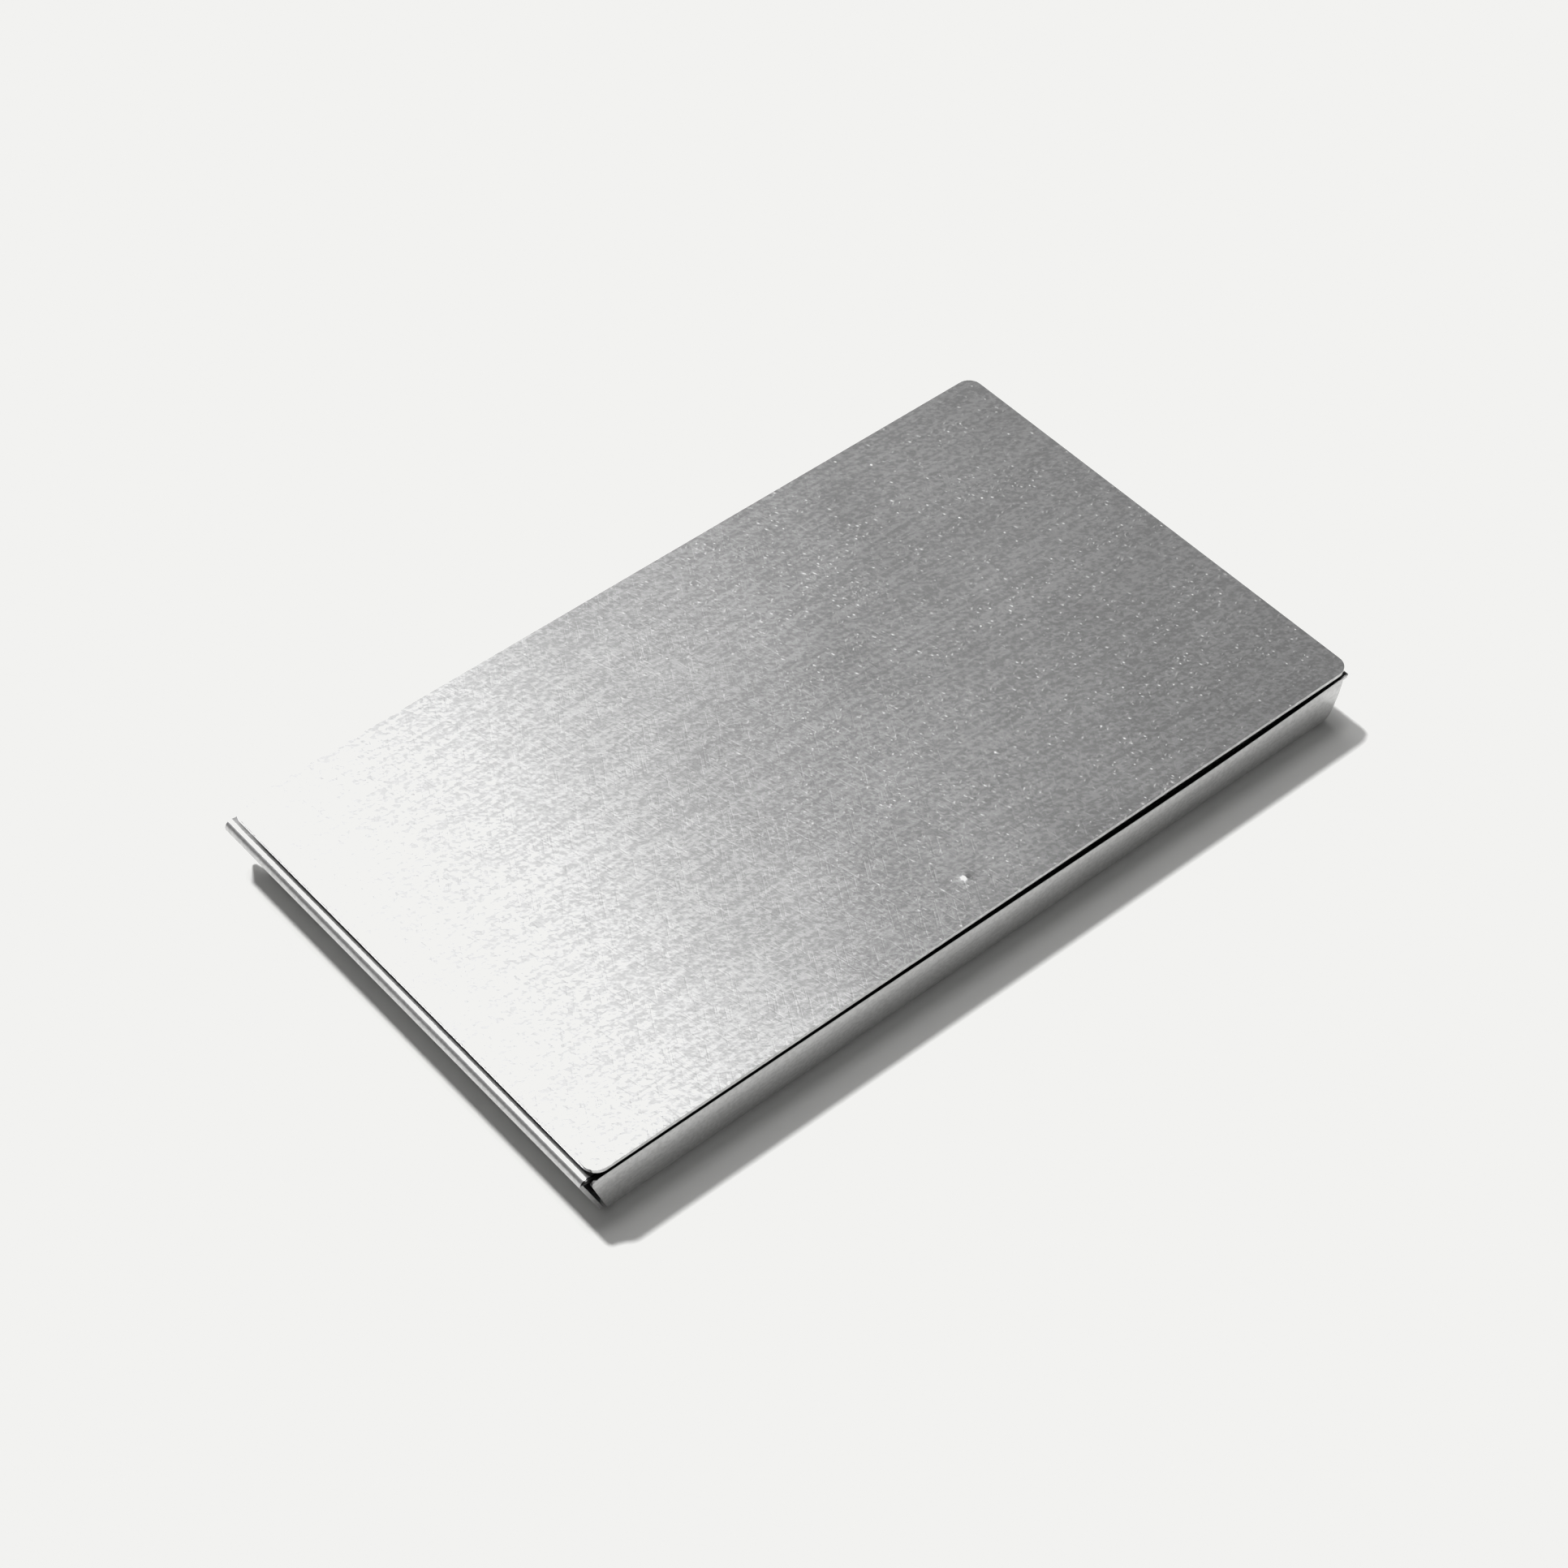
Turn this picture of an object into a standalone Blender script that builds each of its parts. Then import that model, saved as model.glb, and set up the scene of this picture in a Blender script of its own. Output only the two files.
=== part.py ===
"""Business card case: a folded sheet-metal tray under a flat hinged lid.

The tray is one blank: a floor with four walls folded up, open at the corners.
The two end walls lean outwards and turn over at the top into a lip that carries
the lid. The lid is a plain plate. A leaf under its rear edge and a leaf behind
the tray's rear wall curl round one pin, and a spring leg under the front edge
rubs on the front wall and keeps the case shut.

Sizes are millimetres until a mesh is finished, and metres after that. X runs
along the case, -Y is the front, +Z is up, and the floor's underside is at zero.
"""
import math

import bmesh
import bpy

MM = 0.001
CLEAR = 0.3              # gap kept between pieces that touch
SHEET = 0.4              # sheet of the tray and the lid
STRIP = 0.3              # sheet of the hinge leaves and the catch

LID_LENGTH = 94.0
LID_WIDTH = 55.2
LID_CORNER = 1.5         # radius of the lid's corners in plan
CASE_HEIGHT = 7.5        # floor's underside to the lid's top face

LEFT_OVERHANG = 1.0      # how far the left lip stands out beyond the lid
RIGHT_OVERHANG = 0.17    # the same on the right, where the wall is sprung less
LEFT_LEAN = 22.0         # degrees from upright, outwards towards the top
RIGHT_LEAN = 15.0
LIP_RADIUS = 0.75        # outer radius of the turn-over at the top
LIP_FLAT = 0.9           # flat part of the lip under the lid
FLOOR_RADIUS = 1.3       # outer radius of the folds round the floor

FRONT_SETBACK = 0.05     # front wall behind the lid's front edge
FRONT_DROP = 0.55        # slot between the lid and the front wall's top
FRONT_FOLD = 80.0        # degrees turned in the fold before the wall's slow curve
FRONT_CURVE = 25.0       # radius of the wall's slow curve
CORNER_RELIEF = 0.3      # cut at each corner of the floor
SEAM_FOOT = 0.15         # open seam between the walls, at the foot
SEAM_HEAD = 0.6          # the same, at the top
END_INSET = 0.35         # end wall's front edge behind the front wall's inner face
END_SPLAY = 2.0          # how fast an end wall's edges spread above the floor, per height
EAR_SHARE = 0.7          # end wall's rear edge behind the hinge axis, in curl radii
TOP_CUT = 0.8            # height of the corner cut off each end of the long walls' top
TOP_CUT_SPLAY = 1.2      # its width, per height

PIN_RADIUS = 0.4
KNUCKLES = 5
KNUCKLE_GAP = 0.4
HINGE_INSET = 5.0        # lid's end to the first knuckle
CURL_SWEEP = 295.0       # degrees of each knuckle's curl
LID_LEAF = 6.0           # leaf under the lid, measured from the hinge axis
TRAY_LEAF = 4.4          # leaf down the rear wall, measured from the hinge axis
REAR_DROP = 0.6          # slot between the lid's leaf and the rear wall's top

CATCH_WIDTH = 10.0
CATCH_REACH = 8.0        # flat part of the catch under the lid
CATCH_PLAY = 0.1         # air added to the gap before the leg, for the wall's curve
CATCH_FOOT = 2.6         # leg's tip above the floor's underside
CATCH_RADIUS = 0.6
CATCH_LEAD_IN = 10.0     # degrees that the leg's tip turns away from the wall
CATCH_OFFSET = 0.3       # catch's centre, right of the lid's centre
WELD_SETBACK = 4.3       # weld mark behind the lid's front edge
WELD_RADIUS = 1.3
WELD_HEIGHT = 0.15

FOLD_STEPS = 5           # flats in a fold of the tray, and in the catch's bend
LIP_STEPS = 7
CURVE_STEPS = 8          # flats in the front wall's slow curve
WALL_STEPS = 4           # rows up a straight end wall
REAR_STEPS = 6           # rows up the straight rear wall
CURL_STEPS = 14
CORNER_STEPS = 5
PIN_SIDES = 16
WELD_SEGMENTS = 20
WELD_RINGS = 5
SHARP_ANGLE = 30.0       # degrees between faces that stay a crisp edge

LID_UNDER = CASE_HEIGHT - SHEET
LIP_TOP = LID_UNDER - CLEAR
HINGE_LENGTH = LID_LENGTH - 2 * HINGE_INSET
CURL_RADIUS = PIN_RADIUS + CLEAR + STRIP
AXIS_Y = LID_WIDTH / 2 - CURL_RADIUS
AXIS_Z = LIP_TOP - CURL_RADIUS
REAR_OUTER = AXIS_Y - CURL_RADIUS - CLEAR
FRONT_OUTER = LID_WIDTH / 2 - FRONT_SETBACK
EAR_REACH = AXIS_Y + EAR_SHARE * CURL_RADIUS
CENTRING = (LEFT_OVERHANG - RIGHT_OVERHANG) / 2


class Profile:
    """A line across a fold, walked outwards and upwards with a heading in degrees."""

    def __init__(self, across=0.0, up=0.0, heading=0.0):
        self.points = [(across, up)]
        self.heading = heading

    def straight(self, length, steps=1):
        """Walk on along the heading."""
        across, up = self.points[-1]
        turn = math.radians(self.heading)
        for step in range(1, steps + 1):
            part = length * step / steps
            self.points.append((across + part * math.cos(turn), up + part * math.sin(turn)))
        return self

    def bend(self, radius, heading, steps):
        """Walk round an arc until the new heading."""
        across, up = self.points[-1]
        start, stop = math.radians(self.heading), math.radians(heading)
        side = 1.0 if stop > start else -1.0
        for step in range(1, steps + 1):
            turn = start + (stop - start) * step / steps
            self.points.append((across + side * radius * (math.sin(turn) - math.sin(start)),
                                up + side * radius * (math.cos(start) - math.cos(turn))))
        self.heading = heading
        return self


def metal(name, colour, roughness):
    """A plain metal material."""
    material = bpy.data.materials.new(name)
    material.use_nodes = True
    shader = material.node_tree.nodes["Principled BSDF"]
    shader.inputs["Base Color"].default_value = (*colour, 1.0)
    shader.inputs["Roughness"].default_value = roughness
    shader.inputs["Metallic"].default_value = 1.0
    return material


def sheet_object(name, bm, thickness, material, origin=(0.0, 0.0, 0.0), down=None):
    """Turn an open surface into sheet metal, with the thickness behind its face.

    The face that `down` names points to -Z, or all faces point outwards as built.
    """
    bmesh.ops.remove_doubles(bm, verts=bm.verts, dist=0.001)
    bmesh.ops.recalc_face_normals(bm, faces=bm.faces)
    if down is not None and down.normal.z > 0:
        bmesh.ops.reverse_faces(bm, faces=bm.faces)
    bmesh.ops.translate(bm, verts=bm.verts, vec=[-value for value in origin])
    bmesh.ops.scale(bm, verts=bm.verts, vec=(MM, MM, MM))
    mesh = bpy.data.meshes.new(name)
    bm.to_mesh(mesh)
    bm.free()
    mesh.materials.append(material)
    mesh.shade_smooth()
    mesh.set_sharp_from_angle(angle=math.radians(SHARP_ANGLE))
    piece = bpy.data.objects.new(name, mesh)
    bpy.context.collection.objects.link(piece)
    piece.location = ((origin[0] + CENTRING) * MM, origin[1] * MM, origin[2] * MM)
    solidify = piece.modifiers.new("sheet", "SOLIDIFY")
    solidify.thickness = thickness * MM
    solidify.offset = -1.0
    solidify.use_even_offset = True
    return piece


def rows_of(bm, points, stations, place):
    """One row of vertices for each point of a profile.

    `stations(up)` gives a row's places along the fold and `place` puts them in space.
    """
    return [[bm.verts.new(place(along, across, up)) for along in stations(up)]
            for across, up in points]


def skin(bm, rows, keep=lambda row, column: True):
    """Faces between neighbouring rows, where `keep` allows them."""
    for row in range(len(rows) - 1):
        for column in range(len(rows[row]) - 1):
            if keep(row, column):
                bm.faces.new((rows[row][column], rows[row][column + 1],
                              rows[row + 1][column + 1], rows[row + 1][column]))
    loose = [vert for line in rows for vert in line if not vert.link_faces]
    bmesh.ops.delete(bm, geom=loose, context="VERTS")


def end_profile(lean):
    """Outer face of an end wall: fold, leaning wall, turn-over and lip."""
    tilt = math.sin(math.radians(lean))
    rise = LIP_TOP - FLOOR_RADIUS * (1 - tilt) - LIP_RADIUS * (1 + tilt)
    profile = Profile().bend(FLOOR_RADIUS, 90 - lean, FOLD_STEPS)
    profile.straight(rise / math.cos(math.radians(lean)), WALL_STEPS)
    return profile.bend(LIP_RADIUS, 180, LIP_STEPS).straight(LIP_FLAT).points


def end_fold(lean, overhang):
    """Distance from the floor's centre to the fold line of an end wall."""
    reach = max(across for across, _ in end_profile(lean))
    return LID_LENGTH / 2 + overhang - reach


def end_inner_face(up, lean, overhang):
    """Distance from the floor's centre to an end wall's inner face at a height."""
    fold = end_fold(lean, overhang)
    inner_radius = FLOOR_RADIUS - SHEET
    turn = math.radians(90 - lean)
    height = max(up - SHEET, 0.0)
    top_of_fold = inner_radius * (1 - math.cos(turn))
    if height < top_of_fold:
        return fold + math.sqrt(inner_radius ** 2 - (inner_radius - height) ** 2)
    return fold + inner_radius * math.sin(turn) + (height - top_of_fold) / math.tan(turn)


def long_wall_end(up, top, lean, overhang):
    """Half length of a long wall at a height: inside the end wall by the open seam.

    Near the top it follows the corner cut, which is a straight slope.
    """
    seam = SEAM_FOOT + (SEAM_HEAD - SEAM_FOOT) * min(up / LIP_TOP, 1.0)
    reach = end_inner_face(up, lean, overhang) - seam
    corner = end_inner_face(top, lean, overhang) - SEAM_HEAD
    return min(reach, corner - (TOP_CUT - (top - up)) * TOP_CUT_SPLAY)


def front_profile():
    """Outer face of the front wall: a fold, then a slow curve up to the top."""
    top = LID_UNDER - FRONT_DROP
    turned = math.cos(math.radians(FRONT_FOLD))
    rest = top - FLOOR_RADIUS * (1 - turned)
    last = math.degrees(math.acos(turned - rest / FRONT_CURVE))
    profile = Profile().bend(FLOOR_RADIUS, FRONT_FOLD, FOLD_STEPS)
    return profile.bend(FRONT_CURVE, last, CURVE_STEPS).points


def rear_profile():
    """Outer face of the rear wall: a fold, then straight up."""
    top = AXIS_Z + CURL_RADIUS - STRIP - REAR_DROP
    profile = Profile().bend(FLOOR_RADIUS, 90, FOLD_STEPS)
    return profile.straight(top - FLOOR_RADIUS, REAR_STEPS).points


def ends_of(profile):
    """Stations across a long wall, from its left end to its right end."""
    top = profile[-1][1]
    return lambda up: (-long_wall_end(up, top, LEFT_LEAN, LEFT_OVERHANG),
                       long_wall_end(up, top, RIGHT_LEAN, RIGHT_OVERHANG))


def make_tray(material):
    """The folded blank: floor, front and rear walls, two end walls with lips."""
    bm = bmesh.new()
    front, rear = front_profile(), rear_profile()
    front_fold = FRONT_OUTER - max(across for across, _ in front)
    rear_fold = REAR_OUTER - FLOOR_RADIUS

    def front_edge(up):
        """Front end of an end wall: cut back at the floor, inset above it."""
        inset = FRONT_OUTER - SHEET - END_INSET
        return -min(front_fold - CORNER_RELIEF + END_SPLAY * up, inset)

    def rear_edge(up):
        """Rear end of an end wall: cut back at the floor, and an ear that flanks the hinge."""
        return min(rear_fold - CORNER_RELIEF + END_SPLAY * up, EAR_REACH)

    walls = [rows_of(bm, front, ends_of(front), lambda x, s, z: (x, -front_fold - s, z))]
    for side, lean, overhang in ((1, RIGHT_LEAN, RIGHT_OVERHANG), (-1, LEFT_LEAN, LEFT_OVERHANG)):
        fold = end_fold(lean, overhang)
        walls.append(rows_of(bm, end_profile(lean), lambda z: (front_edge(z), rear_edge(z)),
                             lambda y, s, z, side=side, fold=fold: (side * (fold + s), y, z)))
    walls.append(rows_of(bm, rear, ends_of(rear), lambda x, s, z: (x, rear_fold + s, z)))
    for rows in walls:
        skin(bm, rows)
    front_rows, right_rows, left_rows, rear_rows = walls
    floor = bm.faces.new(front_rows[0] + right_rows[0] + rear_rows[0][::-1] + left_rows[0][::-1])
    return sheet_object("tray", bm, SHEET, material, down=floor)


def lid_outline():
    """Corner points of the lid's plate, anticlockwise seen from above."""
    half_length, half_width = LID_LENGTH / 2 - LID_CORNER, LID_WIDTH / 2 - LID_CORNER
    points = []
    for quarter, (x, y) in enumerate(((1, 1), (-1, 1), (-1, -1), (1, -1))):
        for step in range(CORNER_STEPS + 1):
            turn = math.radians(90 * (quarter + step / CORNER_STEPS))
            points.append((x * half_length + LID_CORNER * math.cos(turn),
                           y * half_width + LID_CORNER * math.sin(turn)))
    return points


def make_lid(material, origin):
    """A flat plate with rounded corners and the raised mark of the catch's weld."""
    bm = bmesh.new()
    rim = [bm.verts.new((x, y, CASE_HEIGHT)) for x, y in lid_outline()]
    centre_x, centre_y = CATCH_OFFSET, WELD_SETBACK - LID_WIDTH / 2
    dome = []
    for ring in range(WELD_RINGS):
        share = 1 - ring / WELD_RINGS
        height = WELD_HEIGHT * (1 + math.cos(math.pi * share)) / 2
        dome.append([bm.verts.new((centre_x + WELD_RADIUS * share * math.cos(turn),
                                   centre_y + WELD_RADIUS * share * math.sin(turn),
                                   CASE_HEIGHT + height))
                     for turn in (2 * math.pi * step / WELD_SEGMENTS
                                  for step in range(WELD_SEGMENTS))])
    crown = bm.verts.new((centre_x, centre_y, CASE_HEIGHT + WELD_HEIGHT))
    for outer, inner in zip(dome, dome[1:]):
        for step in range(WELD_SEGMENTS):
            after = (step + 1) % WELD_SEGMENTS
            bm.faces.new((outer[step], outer[after], inner[after], inner[step]))
    for step in range(WELD_SEGMENTS):
        bm.faces.new((dome[-1][step], dome[-1][(step + 1) % WELD_SEGMENTS], crown))
    loop = rim + [rim[0]]
    edges = [bm.edges.new(pair) for pair in zip(loop, loop[1:])]
    foot = dome[0] + [dome[0][0]]
    edges += [bm.edges.get(pair) for pair in zip(foot, foot[1:])]
    bmesh.ops.triangle_fill(bm, use_beauty=True, edges=edges)
    lid = sheet_object("lid", bm, SHEET, material, origin)
    if sum(face.normal.z * face.area for face in lid.data.polygons) < 0:
        lid.data.flip_normals()
    return lid


def knuckle_spans(first):
    """Ends of every other knuckle along the hinge, starting with knuckle `first`."""
    pitch = HINGE_LENGTH / KNUCKLES
    return [(index * pitch - (HINGE_LENGTH - KNUCKLE_GAP) / 2,
             (index + 1) * pitch - (HINGE_LENGTH + KNUCKLE_GAP) / 2)
            for index in range(first, KNUCKLES, 2)]


def make_leaf(name, profile, plain_rows, first, length, material, origin):
    """A hinge leaf: a strip along the case, with every other knuckle curled on.

    The first `plain_rows` rows run the whole length, the others only the knuckles.
    """
    bm = bmesh.new()
    spans = knuckle_spans(first)
    stations = sorted({-length / 2, length / 2, *(end for span in spans for end in span)})
    rows = rows_of(bm, profile, lambda up: stations, lambda x, s, z: (x, AXIS_Y + s, AXIS_Z + z))

    def keep(row, column):
        middle = (stations[column] + stations[column + 1]) / 2
        return row < plain_rows or any(start < middle < stop for start, stop in spans)

    skin(bm, rows, keep)
    leaf = sheet_object(name, bm, STRIP, material, origin)
    outwards = sum((face.center[1] + (origin[1] - AXIS_Y) * MM) * face.normal[1] * face.area
                   + (face.center[2] + (origin[2] - AXIS_Z) * MM) * face.normal[2] * face.area
                   for face in leaf.data.polygons)
    if outwards < 0:
        leaf.data.flip_normals()
    return leaf


def make_tray_leaf(material):
    """The leaf behind the rear wall, with the outer and middle knuckles."""
    profile = Profile(-CURL_RADIUS, -TRAY_LEAF, 90).straight(TRAY_LEAF - CURL_RADIUS - CLEAR)
    profile.straight(CURL_RADIUS + CLEAR).bend(CURL_RADIUS, 90 - CURL_SWEEP, CURL_STEPS)
    return make_leaf("tray_hinge_leaf", profile.points, 1, 0, HINGE_LENGTH - KNUCKLE_GAP,
                     material, (0.0, 0.0, 0.0))


def make_lid_leaf(material, origin):
    """The leaf under the lid's rear edge, with the knuckles in between."""
    profile = Profile(-LID_LEAF, CURL_RADIUS, 0).straight(LID_LEAF - CURL_RADIUS - CLEAR)
    profile.straight(CURL_RADIUS + CLEAR).bend(CURL_RADIUS, -CURL_SWEEP, CURL_STEPS)
    return make_leaf("lid_hinge_leaf", profile.points, 1, 1, HINGE_LENGTH - KNUCKLE_GAP,
                     material, origin)


def make_pin(material):
    """The wire that both leaves curl round, as long as the knuckles."""
    bm = bmesh.new()
    bmesh.ops.create_cone(bm, cap_ends=True, segments=PIN_SIDES, radius1=PIN_RADIUS * MM,
                          radius2=PIN_RADIUS * MM, depth=(HINGE_LENGTH - KNUCKLE_GAP) * MM)
    mesh = bpy.data.meshes.new("hinge_pin")
    bm.to_mesh(mesh)
    bm.free()
    mesh.materials.append(material)
    mesh.shade_smooth()
    mesh.set_sharp_from_angle(angle=math.radians(SHARP_ANGLE))
    pin = bpy.data.objects.new("hinge_pin", mesh)
    bpy.context.collection.objects.link(pin)
    pin.rotation_euler = (0.0, math.radians(90), 0.0)
    pin.location = (CENTRING * MM, AXIS_Y * MM, AXIS_Z * MM)
    return pin


def make_catch(material, origin):
    """The spring under the lid's front edge, with a leg that rubs on the front wall."""
    face = FRONT_OUTER - SHEET - CLEAR - CATCH_PLAY
    profile = Profile(face - CATCH_REACH, LIP_TOP, 0).straight(CATCH_REACH - CATCH_RADIUS)
    profile.bend(CATCH_RADIUS, -90, FOLD_STEPS).straight(LIP_TOP - CATCH_FOOT - 2 * CATCH_RADIUS)
    profile.bend(CATCH_RADIUS, -90 - CATCH_LEAD_IN, 2).straight(CATCH_RADIUS)
    bm = bmesh.new()
    stations = (CATCH_OFFSET - CATCH_WIDTH / 2, CATCH_OFFSET + CATCH_WIDTH / 2)
    rows = rows_of(bm, profile.points, lambda up: stations, lambda x, s, z: (x, -s, z))
    skin(bm, rows)
    catch = sheet_object("catch_spring", bm, STRIP, material, origin)
    if max(catch.data.polygons, key=lambda face: face.area).normal.z < 0:
        catch.data.flip_normals()
    return catch


def main():
    """Make the six pieces, with the moving ones placed on the hinge axis."""
    for existing in list(bpy.data.objects):
        bpy.data.objects.remove(existing, do_unlink=True)
    tinned = metal("tinned_sheet", (0.58, 0.58, 0.57), 0.34)
    spring = metal("spring_steel", (0.42, 0.42, 0.43), 0.3)
    wire = metal("steel_wire", (0.5, 0.5, 0.5), 0.25)
    axis = (0.0, AXIS_Y, AXIS_Z)
    make_tray(tinned)
    make_tray_leaf(tinned)
    make_pin(wire)
    make_lid(tinned, axis)
    make_lid_leaf(tinned, axis)
    make_catch(spring, axis)


main()
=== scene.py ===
"""Looks of a sheet-metal business card case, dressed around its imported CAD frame.

The tray, lid, hinge leaves, pin and catch are drawn again as fine sheet-metal
surfaces in the places that the CAD nodes hold, with procedural steel finishes,
soft studio light, a pale floor and a camera.
"""
import logging
import math
from dataclasses import dataclass, field
from enum import Enum

import bmesh
import bpy
import numpy as np
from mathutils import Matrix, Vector


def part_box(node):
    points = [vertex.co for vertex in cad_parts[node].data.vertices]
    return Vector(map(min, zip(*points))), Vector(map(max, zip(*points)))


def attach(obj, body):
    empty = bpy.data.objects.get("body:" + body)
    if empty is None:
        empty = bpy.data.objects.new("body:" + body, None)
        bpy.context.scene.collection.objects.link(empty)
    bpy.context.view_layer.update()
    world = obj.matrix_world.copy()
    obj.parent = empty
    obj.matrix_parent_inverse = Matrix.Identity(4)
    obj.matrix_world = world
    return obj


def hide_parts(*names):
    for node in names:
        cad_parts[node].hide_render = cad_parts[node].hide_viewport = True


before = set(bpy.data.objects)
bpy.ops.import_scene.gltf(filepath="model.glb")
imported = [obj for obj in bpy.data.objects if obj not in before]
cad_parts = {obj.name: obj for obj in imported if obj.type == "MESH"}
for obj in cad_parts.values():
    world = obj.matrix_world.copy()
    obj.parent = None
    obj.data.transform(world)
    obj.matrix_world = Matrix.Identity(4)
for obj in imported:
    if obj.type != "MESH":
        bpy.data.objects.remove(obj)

LOG = logging.getLogger("card_case")
MM = 0.001
WELD_DIGITS = 7              # places of a metre to which two points are the same
PIT_CELLS = 1900.0           # cells of pits to the metre, across their length
PIT_RADIUS = 0.27            # a pit's radius as a share of its cell


# ---------------------------------------------------------------- surfaces

class Station(Enum):
    """How stations are spread along a line."""

    EVEN = "even"
    ENDS = "closer at both ends"


def stations(low: float, high: float, count: int, spread: Station = Station.EVEN) -> np.ndarray:
    """Places along a line, even or closer together at the ends.

    Args:
        low: First place.
        high: Last place.
        count: How many places.
        spread: Even steps, or steps that follow half a cosine wave.

    Returns:
        The places in rising order.
    """
    share = np.linspace(0.0, 1.0, count)
    if spread is Station.ENDS:
        share = 0.5 * share + 0.25 * (1.0 - np.cos(np.pi * share))
    return low + (high - low) * share


def walk(start: tuple[float, float], heading: float,
         moves: list[tuple[float, float, int]]) -> np.ndarray:
    """A profile walked in a plane by length and turn.

    Each move runs its length while the heading turns evenly, so a move with no
    turn is straight and any other is an arc of radius length over turn. A point
    of the arc is the start plus the radius times the change of sine and cosine.

    Args:
        start: First point, across and up.
        heading: First heading in degrees, 0 across and 90 up.
        moves: Length, turn in degrees and number of steps of each move.

    Returns:
        Points as an array of two columns.
    """
    points = [np.array([start], float)]
    for length, turn, steps in moves:
        share = np.linspace(0.0, 1.0, steps + 1)[1:]
        first = math.radians(heading)
        angle = first + math.radians(turn) * share
        if abs(turn) < 1e-9:
            run = np.stack([np.cos(first) * length * share, np.sin(first) * length * share], 1)
        else:
            radius = length / math.radians(turn)
            run = radius * np.stack([np.sin(angle) - np.sin(first), np.cos(first) - np.cos(angle)], 1)
        points.append(points[-1][-1] + run)
        heading += turn
    return np.concatenate(points)


def arc(radius: float, turn: float, steps: int) -> tuple[float, float, int]:
    """One move of `walk` that turns by `turn` degrees at a radius."""
    return (abs(radius * math.radians(turn)), turn, steps)


def grid_faces(rows: int, columns: int, first: int, keep: np.ndarray | None = None) -> np.ndarray:
    """Quads between neighbouring points of a grid.

    Args:
        rows: Points down the grid.
        columns: Points across the grid.
        first: Index of the grid's first point.
        keep: Which cells are skinned, or None for all.

    Returns:
        Vertex indices, four for each quad.
    """
    index = first + np.arange(rows * columns).reshape(rows, columns)
    quads = np.stack([index[:-1, :-1], index[:-1, 1:], index[1:, 1:], index[1:, :-1]], -1)
    if keep is not None:
        quads = quads[keep]
    return quads.reshape(-1, 4)


def weld_grids(grids: list[tuple[np.ndarray, np.ndarray | None]]) -> tuple[np.ndarray, np.ndarray]:
    """Join grids into one surface, with points at the same place made one.

    Args:
        grids: Points of each grid, rows by columns by three, and its kept cells.

    Returns:
        The used vertices and the quads between them.
    """
    points = np.concatenate([grid.reshape(-1, 3) for grid, _ in grids])
    faces, first = [], 0
    for grid, keep in grids:
        faces.append(grid_faces(grid.shape[0], grid.shape[1], first, keep))
        first += grid.shape[0] * grid.shape[1]
    quads = np.concatenate(faces)
    _, kept, twin = np.unique(np.round(points, WELD_DIGITS), axis=0,
                              return_index=True, return_inverse=True)
    quads = twin.reshape(-1)[quads]
    used, quads = np.unique(quads, return_inverse=True)
    return points[kept][used], quads.reshape(-1, 4)


@dataclass
class SheetPiece:
    """A piece of sheet metal made from its outer surface."""

    name: str
    body: str
    node: str
    slot: str
    thickness: float
    edge: float = 0.05 * MM
    sharp: float = 40.0

    def build(self, grids: list[tuple[np.ndarray, np.ndarray | None]], inside: Vector,
              axis_only: bool = False) -> bpy.types.Object:
        """Make the sheet, with its thickness towards the inside and its edges eased.

        Args:
            grids: The outer surface.
            inside: A point that the outer surface faces away from.
            axis_only: Whether `inside` is a line along X, as for a curl.

        Returns:
            The piece, riding on its body in place of its CAD node.
        """
        points, quads = weld_grids(grids)
        mesh = bpy.data.meshes.new(self.name)
        mesh.from_pydata(points.tolist(), [], quads.tolist())
        shell = bmesh.new()
        shell.from_mesh(mesh)
        bmesh.ops.recalc_face_normals(shell, faces=shell.faces)
        shell.to_mesh(mesh)
        shell.free()
        count = len(mesh.polygons)
        centres, normals, areas = (np.empty(count * 3), np.empty(count * 3), np.empty(count))
        mesh.polygons.foreach_get("center", centres)
        mesh.polygons.foreach_get("normal", normals)
        mesh.polygons.foreach_get("area", areas)
        away = centres.reshape(-1, 3) - np.array(inside)
        if axis_only:
            away[:, 0] = 0.0
        if ((away * normals.reshape(-1, 3)).sum(1) * areas).sum() < 0:
            mesh.flip_normals()
        mesh.shade_smooth()
        piece = bpy.data.objects.new(self.name, mesh)
        bpy.context.collection.objects.link(piece)
        solidify = piece.modifiers.new("sheet", "SOLIDIFY")
        solidify.thickness = self.thickness
        solidify.offset = -1.0
        solidify.use_even_offset = True
        bevel = piece.modifiers.new("eased_edges", "BEVEL")
        bevel.width = self.edge
        bevel.segments = 2
        bevel.limit_method = "ANGLE"
        bevel.angle_limit = math.radians(self.sharp)
        bevel.harden_normals = True
        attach(piece, self.body)
        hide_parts(self.node)
        return piece


# ---------------------------------------------------------------- shader groups

def new_group(name: str, inputs: dict[str, float], outputs: tuple[str, ...]) -> bpy.types.NodeTree:
    """A shader group with a Vector input, float inputs and float outputs.

    Args:
        name: The group's name.
        inputs: Float inputs and their usual values.
        outputs: Names of the float outputs.

    Returns:
        The empty group with its input and output nodes, named "in" and "out".
    """
    group = bpy.data.node_groups.new(name, "ShaderNodeTree")
    group.interface.new_socket("Vector", in_out="INPUT", socket_type="NodeSocketVector")
    for key, value in inputs.items():
        socket = group.interface.new_socket(key, in_out="INPUT", socket_type="NodeSocketFloat")
        socket.default_value = value
    for key in outputs:
        group.interface.new_socket(key, in_out="OUTPUT", socket_type="NodeSocketFloat")
    group.nodes.new("NodeGroupInput").name = "in"
    group.nodes.new("NodeGroupOutput").name = "out"
    return group


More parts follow.
